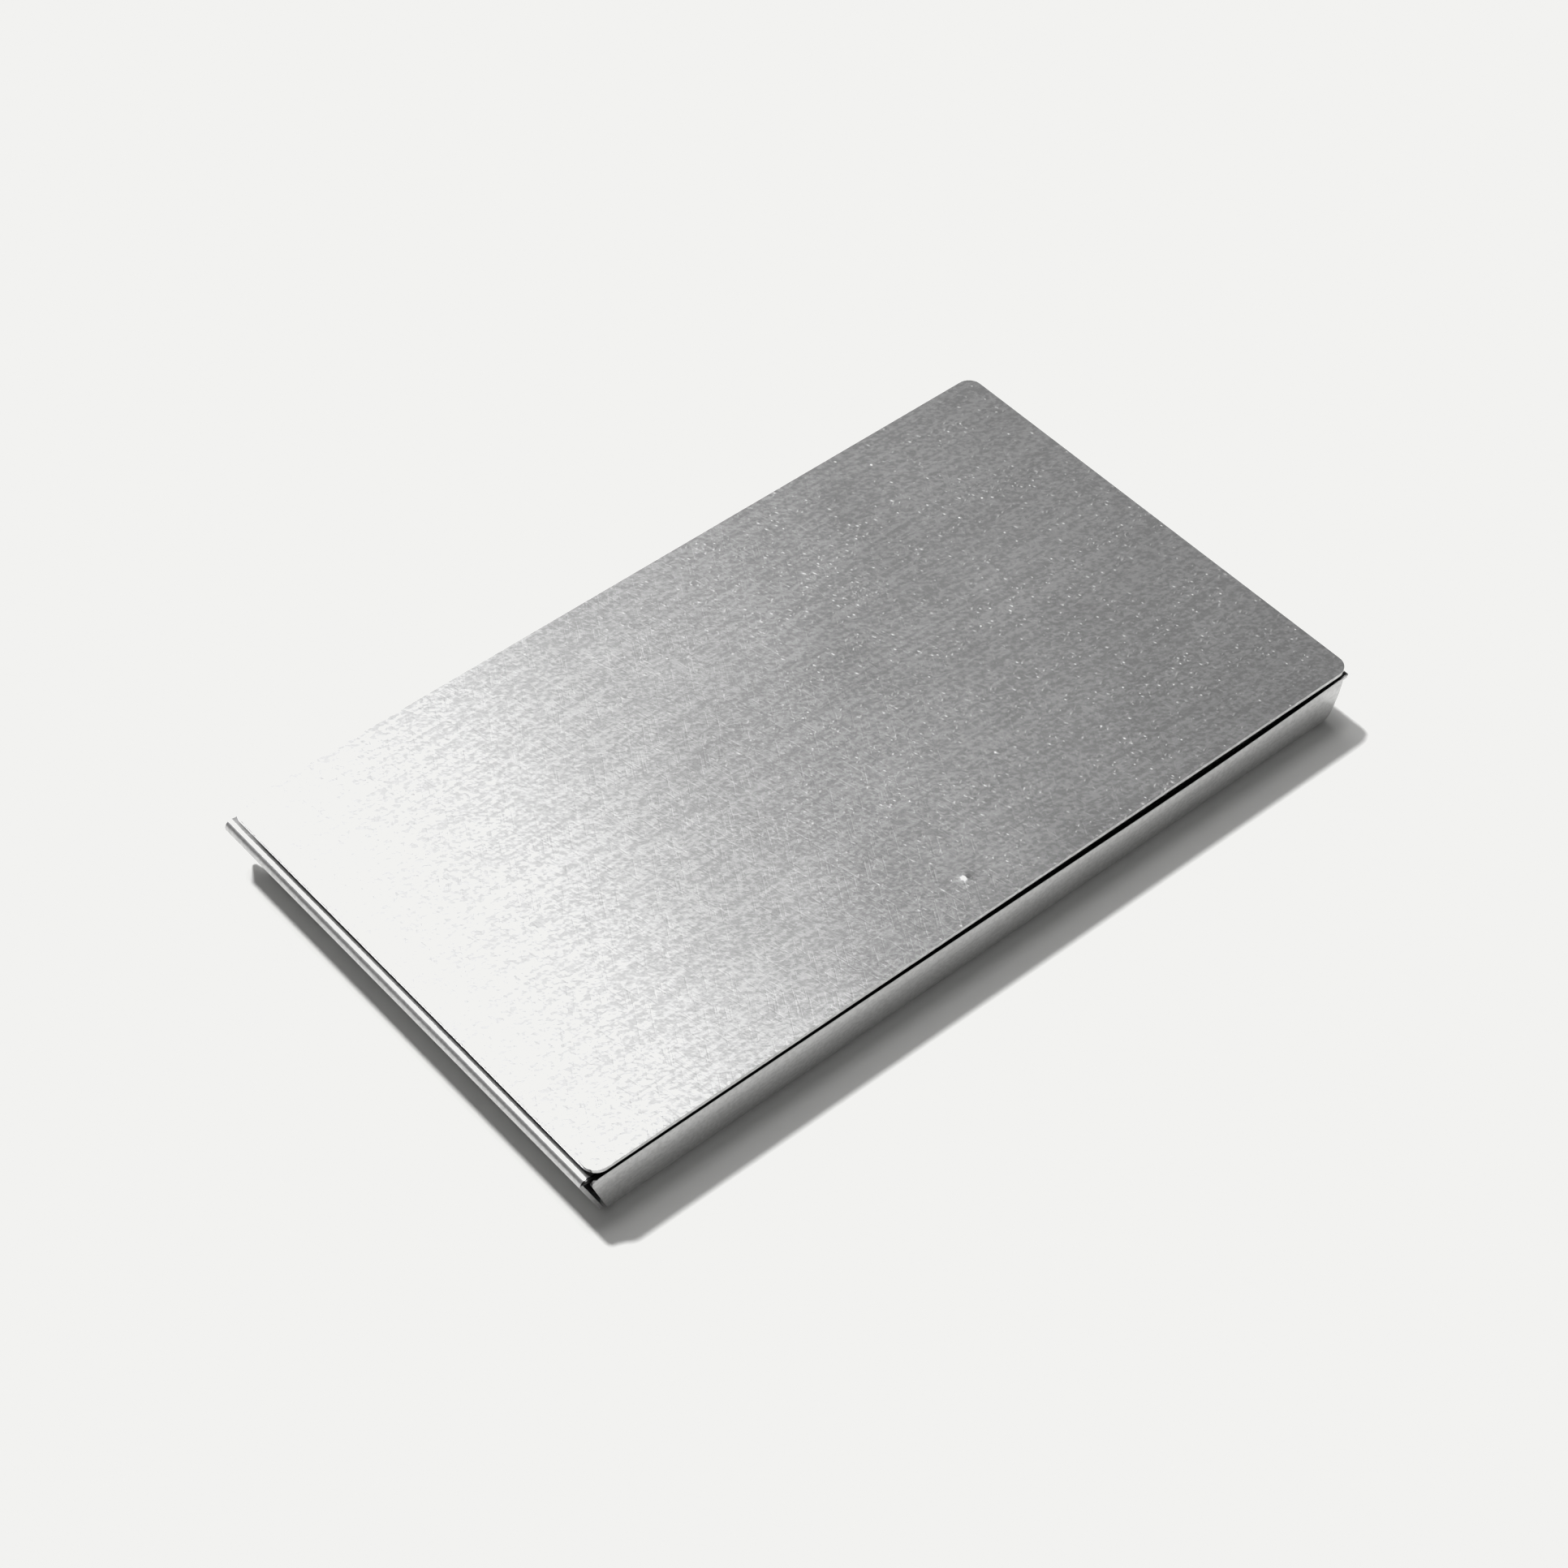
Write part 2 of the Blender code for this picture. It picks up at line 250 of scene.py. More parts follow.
class Nodes:
    """Adds and joins nodes of one tree."""

    def __init__(self, tree: bpy.types.NodeTree) -> None:
        """Keep the tree."""
        self.tree = tree

    def add(self, kind: str, settings: dict | None = None, **inputs: object) -> bpy.types.Node:
        """Add a node, set its properties, and set or link its inputs by name.

        Args:
            kind: The node's type.
            settings: Properties of the node.
            inputs: Values or output sockets, by input name with _ for a space.

        Returns:
            The new node.
        """
        node = self.tree.nodes.new(kind)
        for key, value in (settings or {}).items():
            setattr(node, key, value)
        for key, value in inputs.items():
            self.feed(node, key.replace("_", " "), value)
        return node

    def feed(self, node: bpy.types.Node, key: str | int, value: object) -> None:
        """Link a socket to an input, or set the input's value."""
        socket = node.inputs[key]
        if isinstance(value, bpy.types.NodeSocket):
            self.tree.links.new(value, socket)
        else:
            socket.default_value = value

    def maths(self, operation: str, first: object, second: object = 0.0) -> bpy.types.NodeSocket:
        """A Math node's result for two numbers or sockets."""
        node = self.add("ShaderNodeMath", {"operation": operation})
        self.feed(node, 0, first)
        self.feed(node, 1, second)
        return node.outputs[0]

    def ramp(self, value: object, low: object, high: object) -> bpy.types.NodeSocket:
        """A smooth 0 to 1 as a value goes from low to high."""
        node = self.add("ShaderNodeMapRange", {"interpolation_type": "SMOOTHSTEP"},
                        Value=value, From_Min=low, From_Max=high)
        return node.outputs[0]


def stretched(nodes: Nodes, source: object, cell: str = "Scale") -> bpy.types.NodeSocket:
    """Coordinates turned about Z by Angle and squeezed along their length by Stretch."""
    turned = nodes.add("ShaderNodeVectorRotate", {"rotation_type": "Z_AXIS"},
                       Vector=source["Vector"], Angle=source["Angle"])
    along = nodes.maths("DIVIDE", source[cell], source["Stretch"])
    sizes = nodes.add("ShaderNodeCombineXYZ", X=along, Y=source[cell], Z=source[cell])
    scaled = nodes.add("ShaderNodeVectorMath", {"operation": "MULTIPLY_ADD"})
    shift = nodes.add("ShaderNodeCombineXYZ", X=source["Seed"], Y=source["Seed"], Z=source["Seed"])
    nodes.feed(scaled, 0, turned.outputs[0])
    nodes.feed(scaled, 1, sizes.outputs[0])
    nodes.feed(scaled, 2, shift.outputs[0])
    return scaled.outputs[0]


def streak_group() -> bpy.types.NodeTree:
    """Streaks: noise turned about Z and stretched along its length."""
    group = new_group("short_streaks", {"Angle": 0.0, "Scale": 4000.0, "Stretch": 5.0, "Seed": 0.0},
                      ("Height",))
    nodes = Nodes(group)
    place = stretched(nodes, group.nodes["in"].outputs)
    noise = nodes.add("ShaderNodeTexNoise", Vector=place, Scale=1.0, Detail=2.0, Roughness=0.5)
    nodes.feed(group.nodes["out"], "Height", noise.outputs["Fac"])
    return group


def scratch_group() -> bpy.types.NodeTree:
    """Sparse scratches: stretched noise cut off above a level."""
    group = new_group("sparse_scratches", {"Angle": 0.0, "Scale": 2000.0, "Stretch": 8.0,
                                           "Level": 0.6, "Seed": 0.0}, ("Mask",))
    nodes = Nodes(group)
    source = group.nodes["in"].outputs
    noise = nodes.add("ShaderNodeTexNoise", Vector=stretched(nodes, source), Scale=1.0, Detail=0.0)
    high = nodes.maths("ADD", source["Level"], 0.09)
    nodes.feed(group.nodes["out"], "Mask", nodes.ramp(noise.outputs["Fac"], source["Level"], high))
    return group


def glint_group() -> bpy.types.NodeTree:
    """Pits: small domes in a few stretched cells, more of them in rows along X."""
    group = new_group("glint_pits", {"Angle": 0.0, "Scale": 1300.0, "Stretch": 2.0, "Share": 0.2,
                                     "Radius": 0.3, "Seed": 0.0}, ("Dome",))
    nodes = Nodes(group)
    source = group.nodes["in"].outputs
    cells = nodes.add("ShaderNodeTexVoronoi", Vector=stretched(nodes, source), Scale=1.0)
    pick = nodes.add("ShaderNodeSeparateColor", Color=cells.outputs["Color"])
    rows = nodes.add("ShaderNodeVectorMath", {"operation": "MULTIPLY"})
    nodes.feed(rows, 0, source["Vector"])
    nodes.feed(rows, 1, (60.0, 700.0, 700.0))
    crowd = nodes.add("ShaderNodeTexNoise", Vector=rows.outputs[0], Scale=1.0, Detail=2.0)
    dense = nodes.ramp(crowd.outputs["Fac"], 0.40, 0.62)
    share = nodes.maths("MULTIPLY", source["Share"], nodes.maths("ADD", 0.3, nodes.maths(
        "MULTIPLY", dense, 1.5)))
    chosen = nodes.maths("LESS_THAN", pick.outputs[0], share)
    size = nodes.maths("MULTIPLY", source["Radius"], nodes.maths("ADD", pick.outputs[1], 0.4))
    dome = nodes.ramp(cells.outputs["Distance"], size, 0.0)
    nodes.feed(group.nodes["out"], "Dome", nodes.maths("MULTIPLY", chosen, dome))
    return group


def painted_slot_shade_group() -> bpy.types.NodeTree:
    """Mask of painted shade on the front wall's top edge and the top of its inner face, found by its
    place on the tray.
    """
    group = new_group("painted_slot_shade_edge", {"Start": -27.54 * MM, "End": -26.9 * MM, "Foot": 5.5 * MM},
                      ("Mask",))
    nodes = Nodes(group)
    source = group.nodes["in"].outputs
    place = nodes.add("ShaderNodeSeparateXYZ", Vector=source["Vector"])
    blend = nodes.maths("ADD", source["Start"], 0.05 * MM)
    behind = nodes.ramp(place.outputs["Y"], source["Start"], blend)
    before = nodes.maths("LESS_THAN", place.outputs["Y"], source["End"])
    above = nodes.maths("GREATER_THAN", place.outputs["Z"], source["Foot"])
    nodes.feed(group.nodes["out"], "Mask", nodes.maths("MULTIPLY", behind, nodes.maths(
        "MULTIPLY", before, above)))
    return group


def cloud_group() -> bpy.types.NodeTree:
    """Broad handling marks: slow noise that shifts gloss a little."""
    group = new_group("handling_clouds", {"Scale": 60.0}, ("Cloud",))
    nodes = Nodes(group)
    source = group.nodes["in"].outputs
    noise = nodes.add("ShaderNodeTexNoise", Vector=source["Vector"], Scale=source["Scale"],
                      Detail=4.0, Roughness=0.6)
    nodes.feed(group.nodes["out"], "Cloud", nodes.ramp(noise.outputs["Fac"], 0.3, 0.7))
    return group


class Effects:
    """The shared shader groups, each made once."""

    def __init__(self) -> None:
        """Make the groups."""
        self.streaks = streak_group()
        self.scratches = scratch_group()
        self.glints = glint_group()
        self.clouds = cloud_group()
        # mask for the painted shade on the front wall's top edge, under the lid's front edge
        self.painted_slot_shade = painted_slot_shade_group()


# ---------------------------------------------------------------- finishes

@dataclass(frozen=True)
class SteelFinish:
    """A bright sheet steel: short crossing streaks, rolled lines along X, scratches, and pits whose
    colour is lifted towards white as painted glints.
    """

    name: str
    colour: tuple[float, float, float] = (0.64, 0.64, 0.64)
    roughness: float = 0.225
    gloss_change: float = 0.03
    tone_change: float = 0.27
    tone_range: tuple[float, float] = (0.38, 0.62)
    mottle_scale: float = 3000.0
    mottle_angle: float = 30.0
    mottle_stretch: float = 1.5
    mottle_weight: float = 2.0
    cloud_scale: float = 60.0
    rolled_stretch: float = 40.0
    rolled_tone: float = 0.3
    streak_angles: tuple[float, ...] = (64.0, 20.0)
    streak_scale: float = 5000.0
    streak_stretch: float = 3.0
    streak_depth: float = 0.5
    line_depth: float = 0.10
    scratch_depth: float = 0.10
    scratch_level: float = 0.66
    scratch_angles: tuple[float, ...] = (30.0, -15.0, 80.0, -60.0)
    glint_angles: tuple[float, ...] = (64.0, -25.0)
    glint_share: float = 0.56
    glint_depth: float = 1.1
    # glint_tone and glint_colour paint glints: the base colour is lifted towards near white on the
    # pits
    glint_tone: float = 0.5
    glint_colour: tuple[float, float, float] = (0.98, 0.98, 0.97)
    glint_start: float = -35.0 * MM
    glint_full: float = 40.0 * MM
    # painted slot shade: the front wall's top edge is coloured near black as painted shade in the
    # slot under the lid
    painted_slot_shade: bool = False
    painted_slot_shade_colour: tuple[float, float, float] = (0.03, 0.03, 0.03)
    relief: float = 0.012 * MM

    def layers(self, nodes: Nodes, effects: Effects, place: bpy.types.NodeSocket) -> dict:
        """Add the groups that this finish reads.

        Args:
            nodes: Where to add them.
            effects: The shared shader groups.
            place: Coordinates on the piece.

        Returns:
            Output sockets by the name of the effect.
        """
        streaks: bpy.types.NodeSocket | float = 0.0
        for number, angle in enumerate(self.streak_angles):
            layer = nodes.add("ShaderNodeGroup", {"node_tree": effects.streaks}, Vector=place,
                              Angle=math.radians(angle), Scale=self.streak_scale,
                              Stretch=self.streak_stretch, Seed=3.1 + 5.3 * number)
            share = nodes.maths("MULTIPLY", layer.outputs[0], 1.0 / len(self.streak_angles))
            streaks = nodes.maths("ADD", streaks, share)
        rolled = nodes.add("ShaderNodeGroup", {"node_tree": effects.streaks}, Vector=place,
                           Angle=0.0, Scale=self.streak_scale / 2, Stretch=self.rolled_stretch,
                           Seed=11.7)
        mottle = nodes.add("ShaderNodeGroup", {"node_tree": effects.streaks}, Vector=place,
                           Angle=math.radians(self.mottle_angle), Scale=self.mottle_scale,
                           Stretch=self.mottle_stretch, Seed=23.0)
        scratches: bpy.types.NodeSocket | float = 0.0
        for number, angle in enumerate(self.scratch_angles):
            layer = nodes.add("ShaderNodeGroup", {"node_tree": effects.scratches}, Vector=place,
                              Angle=math.radians(angle), Stretch=9.0 + 4.0 * number,
                              Scale=self.streak_scale * (0.8 + 0.1 * number),
                              Level=self.scratch_level, Seed=7.3 * number + 1.9)
            scratches = nodes.maths("ADD", scratches, layer.outputs["Mask"])
        glints: bpy.types.NodeSocket | float = 0.0
        for number, angle in enumerate(self.glint_angles):
            layer = nodes.add("ShaderNodeGroup", {"node_tree": effects.glints}, Vector=place,
                              Angle=math.radians(angle), Scale=PIT_CELLS,
                              Share=self.glint_share, Radius=PIT_RADIUS,
                              Seed=4.7 * number + 2.3)
            glints = nodes.maths("ADD", glints, layer.outputs["Dome"])
        along = nodes.add("ShaderNodeSeparateXYZ", Vector=place)
        spread = nodes.ramp(along.outputs["X"], self.glint_start, self.glint_full)
        cloud = nodes.add("ShaderNodeGroup", {"node_tree": effects.clouds}, Vector=place,
                          Scale=self.cloud_scale)
        return {"streaks": streaks, "mottle": mottle.outputs[0], "rolled": rolled.outputs[0],
                "scratches": scratches, "glints": nodes.maths("MULTIPLY", glints, spread),
                "cloud": cloud.outputs[0]}

    def material(self, effects: Effects) -> bpy.types.Material:
        """Build the material.

        Args:
            effects: The shared shader groups.

        Returns:
            A Principled metal whose tone, gloss and relief vary over the sheet.
        """
        material = bpy.data.materials.new(self.name)
        material.use_nodes = True
        nodes = Nodes(material.node_tree)
        shader = material.node_tree.nodes["Principled BSDF"]
        place = nodes.add("ShaderNodeTexCoord").outputs["Object"]
        layer = self.layers(nodes, effects, place)
        height = nodes.maths("MULTIPLY", layer["streaks"], self.streak_depth)
        for key, depth in (("rolled", self.line_depth), ("scratches", -self.scratch_depth),
                           ("glints", self.glint_depth)):
            height = nodes.maths("ADD", height, nodes.maths("MULTIPLY", layer[key], depth))
        bump = nodes.add("ShaderNodeBump", Strength=1.0, Distance=self.relief, Height=height)
        nodes.feed(shader, "Normal", bump.outputs[0])
        change = nodes.maths("ADD", nodes.maths("SUBTRACT", layer["cloud"], 0.5),
                             nodes.maths("SUBTRACT", layer["streaks"], 0.5))
        nodes.feed(shader, "Roughness", nodes.maths("ADD", nodes.maths(
            "MULTIPLY", change, self.gloss_change), self.roughness))
        dark = tuple(value * (1.0 - self.tone_change) for value in self.colour)
        tone = nodes.add("ShaderNodeMix", {"data_type": "RGBA"})
        rolled = nodes.maths("MULTIPLY", nodes.maths("SUBTRACT", layer["rolled"], 0.5),
                             self.rolled_tone)
        mottle = nodes.maths("MULTIPLY", layer["mottle"], self.mottle_weight)
        mixed = nodes.maths("MULTIPLY", nodes.maths("ADD", layer["streaks"], mottle),
                            1.0 / (1.0 + self.mottle_weight))
        nodes.feed(tone, 0, nodes.ramp(nodes.maths("ADD", mixed, rolled), *self.tone_range))
        nodes.feed(tone, 6, (*dark, 1.0))
        nodes.feed(tone, 7, (*self.colour, 1.0))
        # Painted glints: the base colour is lifted towards near white on the pit domes, fading out
        # towards the left end.
        painted_glint_mix = nodes.add("ShaderNodeMix", {"data_type": "RGBA"})
        nodes.feed(painted_glint_mix, 0, nodes.maths("MULTIPLY", layer["glints"], self.glint_tone))
        nodes.feed(painted_glint_mix, 6, tone.outputs[2])
        nodes.feed(painted_glint_mix, 7, (*self.glint_colour, 1.0))
        colour = painted_glint_mix.outputs[2]
        # Painted shade: near black over the masked top edge of the front wall, standing in for the
        # shade in the slot under the lid's front edge.
        if self.painted_slot_shade:
            edge = nodes.add("ShaderNodeGroup", {"node_tree": effects.painted_slot_shade}, Vector=place)
            painted_slot_shade_mix = nodes.add("ShaderNodeMix", {"data_type": "RGBA"})
            nodes.feed(painted_slot_shade_mix, 0, edge.outputs["Mask"])
            nodes.feed(painted_slot_shade_mix, 6, colour)
            nodes.feed(painted_slot_shade_mix, 7, (*self.painted_slot_shade_colour, 1.0))
            colour = painted_slot_shade_mix.outputs[2]
        nodes.feed(shader, "Base Color", colour)
        shader.inputs["Metallic"].default_value = 1.0
        return material


@dataclass(frozen=True)
class FloorFinish:
    """A pale matt paper floor with a barely seen tooth."""

    name: str = "pale_paper"
    colour: tuple[float, float, float] = (0.80, 0.80, 0.785)
    tooth: float = 0.02 * MM

    def material(self) -> bpy.types.Material:
        """Build the material."""
        material = bpy.data.materials.new(self.name)
        material.use_nodes = True
        nodes = Nodes(material.node_tree)
        shader = material.node_tree.nodes["Principled BSDF"]
        place = nodes.add("ShaderNodeTexCoord").outputs["Object"]
        noise = nodes.add("ShaderNodeTexNoise", Vector=place, Scale=900.0, Detail=2.0)
        bump = nodes.add("ShaderNodeBump", Strength=0.3, Distance=self.tooth,
                         Height=noise.outputs["Fac"])
        nodes.feed(shader, "Normal", bump.outputs[0])
        shader.inputs["Base Color"].default_value = (*self.colour, 1.0)
        shader.inputs["Roughness"].default_value = 0.9
        shader.inputs["Specular IOR Level"].default_value = 0.0
        return material


# ---------------------------------------------------------------- the case

@dataclass
class CaseSizes:
    """Sizes of the case, in metres, read from the frame or kept as the CAD has them."""

    sheet: float = 0.4 * MM
    strip: float = 0.3 * MM
    fold: float = 1.3 * MM
    lip_radius: float = 0.75 * MM
    lip_flat: float = 0.9 * MM
    lean_left: float = 22.0
    lean_right: float = 15.0
    front_fold_turn: float = 80.0
    front_curve: float = 25.0 * MM
    relief: float = 0.3 * MM
    lid_low: Vector = field(default_factory=lambda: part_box("lid")[0])
    lid_high: Vector = field(default_factory=lambda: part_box("lid")[1])
    tray_low: Vector = field(default_factory=lambda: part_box("tray")[0])
    tray_high: Vector = field(default_factory=lambda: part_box("tray")[1])
    pin_low: Vector = field(default_factory=lambda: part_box("hinge_pin")[0])
    pin_high: Vector = field(default_factory=lambda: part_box("hinge_pin")[1])

    @property
    def lid_top(self) -> float:
        """Height of the lid's flat top face."""
        return self.lid_low.z + self.sheet

    @property
    def lid_middle(self) -> float:
        """Lid's centre along X."""
        return (self.lid_low.x + self.lid_high.x) / 2

    @property
    def axis(self) -> Vector:
        """A point on the hinge axis, at the pin's middle."""
        return (self.pin_low + self.pin_high) / 2


@dataclass
class Tray:
    """The folded blank: floor, front wall, rear wall and two end walls with lips."""

    sizes: CaseSizes
    rear_outer: float = 25.3 * MM
    front_top: float = 6.55 * MM
    front_rise: float = -0.06 * MM
    front_sag: float = 0.66 * MM
    sag_power: float = 2.65
    lip_forward: tuple[float, float] = (0.35 * MM, 0.85 * MM)
    lip_drop: float = 0.18 * MM
    lip_dip: float = 10.0
    dip_radius: float = 1.0 * MM
    seam_foot: float = 0.15 * MM
    seam_head: float = 0.6 * MM
    top_cut: float = 0.85 * MM
    top_cut_splay: float = 1.2
    end_inset: float = 0.35 * MM
    foot_height: float = 1.8 * MM
    foot_left: float = 0.4 * MM
    foot_right: float = 1.5 * MM
    ear_slope: float = 2.0
    lip_start: float = 0.86
    lip_blend: float = 0.1
    rear_rise: float = 0.1 * MM
    inside_share: float = 0.7
    bow_power: int = 3
    along: int = 120
    across: int = 60
    fold_rows: int = 10
    wall_rows: int = 14
    lip_rows: int = 16
    flat_rows: int = 4
    curve_rows: int = 18
    rear_rows: int = 12

    def end_profile(self, lean: float) -> np.ndarray:
        """Outer face of an end wall: fold, leaning wall, turn-over, lip."""
        size = self.sizes
        tilt = math.sin(math.radians(lean))
        top = size.tray_high.z - self.lip_drop
        rise = top - size.fold * (1 - tilt) - size.lip_radius * (1 + tilt)
        wall = rise / math.cos(math.radians(lean))
        return walk((0.0, 0.0), 0.0, [arc(size.fold, 90.0 - lean, self.fold_rows),
                                      (wall, 0.0, self.wall_rows),
                                      arc(size.lip_radius, 90.0 + lean, self.lip_rows),
                                      arc(self.dip_radius, self.lip_dip, self.flat_rows),
                                      (size.lip_flat, 0.0, self.flat_rows)])

    def front_profile(self) -> np.ndarray:
        """Outer face of the front wall: fold, then a slow outward curve."""
        size = self.sizes
        turned = math.cos(math.radians(size.front_fold_turn))
        rest = self.front_top - size.fold * (1 - turned)
        last = math.degrees(math.acos(turned - rest / size.front_curve))
        return walk((0.0, 0.0), 0.0, [arc(size.fold, size.front_fold_turn, self.fold_rows + 2),
                                      arc(size.front_curve, last - size.front_fold_turn,
                                          self.curve_rows)])

    def rear_profile(self) -> np.ndarray:
        """Outer face of the rear wall: fold, then straight up."""
        size = self.sizes
        straight = size.axis.z + self.rear_rise - size.fold
        return walk((0.0, 0.0), 0.0, [arc(size.fold, 90.0, self.fold_rows),
                                      (straight, 0.0, self.rear_rows)])

    def inner_face(self, up: np.ndarray, fold: float, lean: float) -> np.ndarray:
        """Distance to an end wall's inner face at each height.

        Below the fold's end it is the inner arc, and above it the leaning line.
        """
        size = self.sizes
        radius = size.fold - size.sheet
        turn = math.radians(90.0 - lean)
        height = np.maximum(up - size.sheet, 0.0)
        fold_top = radius * (1 - math.cos(turn))
        low = np.sqrt(np.maximum(radius ** 2 - (radius - np.minimum(height, fold_top)) ** 2, 0.0))
        high = radius * math.sin(turn) + (height - fold_top) / math.tan(turn)
        return fold + np.where(height < fold_top, low, high)

    def wall_reach(self, up: np.ndarray, top: float, fold: float, lean: float,
                   foot: float) -> np.ndarray:
        """Half length of a long wall: inside the end wall by the seam, corners rounded off.

        Each corner falls away along a quarter ellipse, the top one over the cut and
        the bottom one over the foot.
        """
        size = self.sizes
        share = np.minimum(up / size.tray_high.z, 1)
        seam = self.seam_foot + (self.seam_head - self.seam_foot) * share
        reach = self.inner_face(up, fold, lean) - seam
        corner = self.inner_face(np.array([top]), fold, lean)[0] - self.seam_head
        below = np.clip((self.top_cut - (top - up)) / self.top_cut, 0.0, 1.0)
        cut = corner - self.top_cut * self.top_cut_splay * (1.0 - np.sqrt(1.0 - below ** 2))
        low = np.clip(1.0 - up / self.foot_height, 0.0, 1.0)
        reach = reach - foot * (1.0 - np.sqrt(1.0 - low ** 2))
        return np.where(below > 0, np.minimum(reach, cut), reach)

    def build(self) -> bpy.types.Object:
        """Lay the floor's grid and fold the four walls up from its edges."""
        size = self.sizes
        left, right = self.end_profile(size.lean_left), self.end_profile(size.lean_right)
        front, rear = self.front_profile(), self.rear_profile()
        fold_left = size.tray_low.x + left[:, 0].max()
        fold_right = size.tray_high.x - right[:, 0].max()
        fold_front = size.tray_low.y + front[:, 0].max()
        fold_rear = self.rear_outer - size.fold
        middle = (fold_left + fold_right) / 2

        inner_x = stations(fold_left + size.relief, fold_right - size.relief, self.along,
                           Station.ENDS)
        inner_y = stations(fold_front + size.relief, fold_rear - size.relief, self.across,
                           Station.ENDS)
        floor_x = np.concatenate([[fold_left], inner_x, [fold_right]])
        floor_y = np.concatenate([[fold_front], inner_y, [fold_rear]])
        grid_x, grid_y = np.meshgrid(floor_x, floor_y)
        floor = np.stack([grid_x, grid_y, np.zeros_like(grid_x)], -1)
        keep = np.ones((len(floor_y) - 1, len(floor_x) - 1), bool)
        keep[[0, 0, -1, -1], [0, -1, 0, -1]] = False

        share_x = (inner_x - inner_x[0]) / (inner_x[-1] - inner_x[0])
        share_y = (inner_y - inner_y[0]) / (inner_y[-1] - inner_y[0])
        grids = [(floor, keep)]
        for profile, edge_y, side in ((front, fold_front, -1.0), (rear, fold_rear, 1.0)):
            up = profile[:, 1]
            low = middle - self.wall_reach(up, up[-1], middle - fold_left, size.lean_left,
                                           self.foot_left)
            high = middle + self.wall_reach(up, up[-1], fold_right - middle, size.lean_right,
                                            self.foot_right)
            low[0], high[0] = inner_x[0], inner_x[-1]
            x = low[:, None] + (high - low)[:, None] * share_x[None, :]
            y = np.broadcast_to((edge_y + side * profile[:, 0])[:, None], x.shape)
            z = np.broadcast_to(up[:, None], x.shape).copy()
            if side < 0:
                z += self.bow(x) * (z / up[-1]) ** self.bow_power
            grids.append((np.stack([x, y, z], -1), None))
        for profile, edge_x, side in ((left, fold_left, -1.0), (right, fold_right, 1.0)):
            low, high = self.end_reach(profile, inner_y, self.lip_forward[side > 0])
            y = low[:, None] + (high - low)[:, None] * share_y[None, :]
            x = np.broadcast_to((edge_x + side * profile[:, 0])[:, None], y.shape)
            z = np.broadcast_to(profile[:, 1][:, None], y.shape)
            grids.append((np.stack([x, y, z], -1), None))
        sheet = SheetPiece("tray_shell", "case", "tray", "tinned_sheet", size.sheet)
        return sheet.build(grids, Vector((middle, 0.0, size.tray_high.z * self.inside_share)))

    def bow(self, x: np.ndarray) -> np.ndarray:
        """Rise of the front wall's top edge: high at the left, lowest three quarters along.

        It is the rise less the sag times half a sine wave over the share to a power.
        """
        share = (x - self.sizes.tray_low.x) / (self.sizes.tray_high.x - self.sizes.tray_low.x)
        wave = np.sin(np.pi * np.clip(share, 0, 1) ** self.sag_power)
        return self.front_rise - self.front_sag * wave

    def end_reach(self, profile: np.ndarray, inner_y: np.ndarray,
                  forward: float) -> tuple[np.ndarray, np.ndarray]:
        """Front and rear ends of an end wall at each profile point.

        The front stays inside the front wall and its lip comes forward over the
        wall's cut corner. The rear spreads to an ear that flanks the hinge.
        """
        size = self.sizes
        up = profile[:, 1]
        front_inner = -size.tray_low.y - size.sheet - self.end_inset
        low = -np.minimum(-inner_y[0] + self.ear_slope * up, front_inner)
        lip = np.clip((up / size.tray_high.z - self.lip_start) / self.lip_blend, 0.0, 1.0)
        low -= forward * lip
        high = np.minimum(inner_y[-1] + self.ear_slope * up, size.tray_high.y)
        low[0], high[0] = inner_y[0], inner_y[-1]
        return low, high


